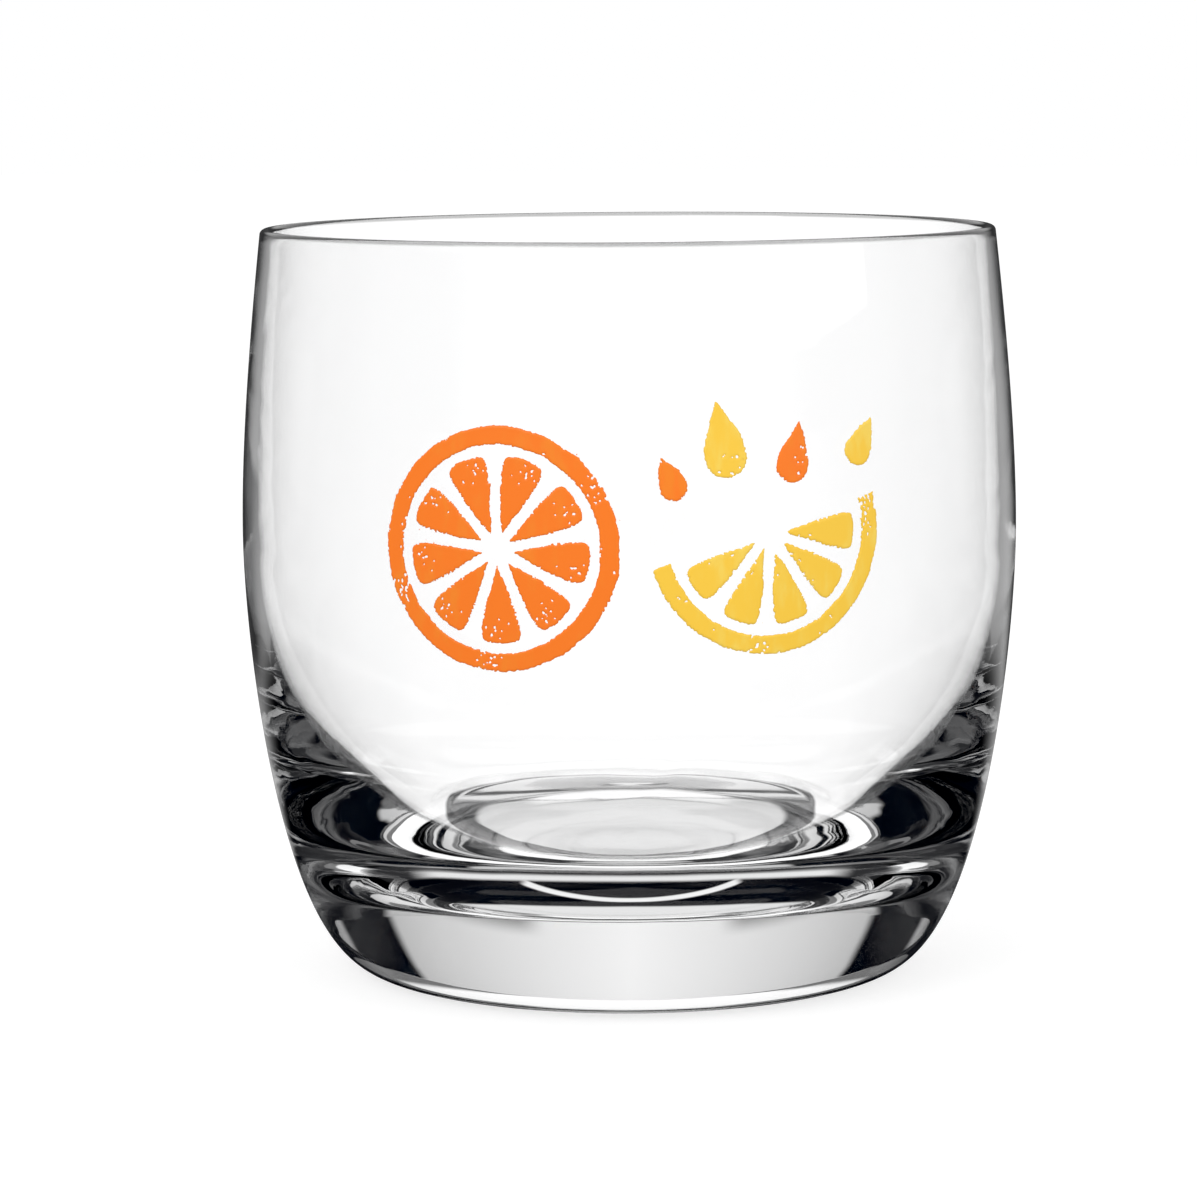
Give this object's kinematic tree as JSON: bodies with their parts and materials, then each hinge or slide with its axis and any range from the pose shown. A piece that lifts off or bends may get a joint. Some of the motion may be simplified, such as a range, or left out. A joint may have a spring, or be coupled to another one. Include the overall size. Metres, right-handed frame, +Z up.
{
  "type": "juice glass",
  "caption": "Low barrel-shaped drinking tumbler with a thin rounded lip, a bowl-shaped cavity, a thick heavy base and a citrus print fired on its front.",
  "frame": {"origin": "on the axis of the glass, in the plane of the ring that it stands on", "axes": "+Z up along the axis of the glass, -Y out through the printed front, +X to the right of someone who looks at the print"},
  "size_m": [0.085, 0.0851, 0.0815],
  "materials": {
    "clear_glass": "clear soda-lime glass, fire polished",
    "orange_enamel": "fired glass enamel, satin to gloss, dry-brushed edges",
    "yellow_enamel": "fired glass enamel, satin to gloss, dry-brushed edges"
  },
  "bodies": {
    "root": {"glass_body": "clear_glass", "orange_rind": "orange_enamel", "orange_pulp": "orange_enamel", "lemon_rind": "yellow_enamel", "lemon_pulp": "yellow_enamel", "orange_drops": "orange_enamel", "lemon_drops": "yellow_enamel"}
  },
  "joints": []
}
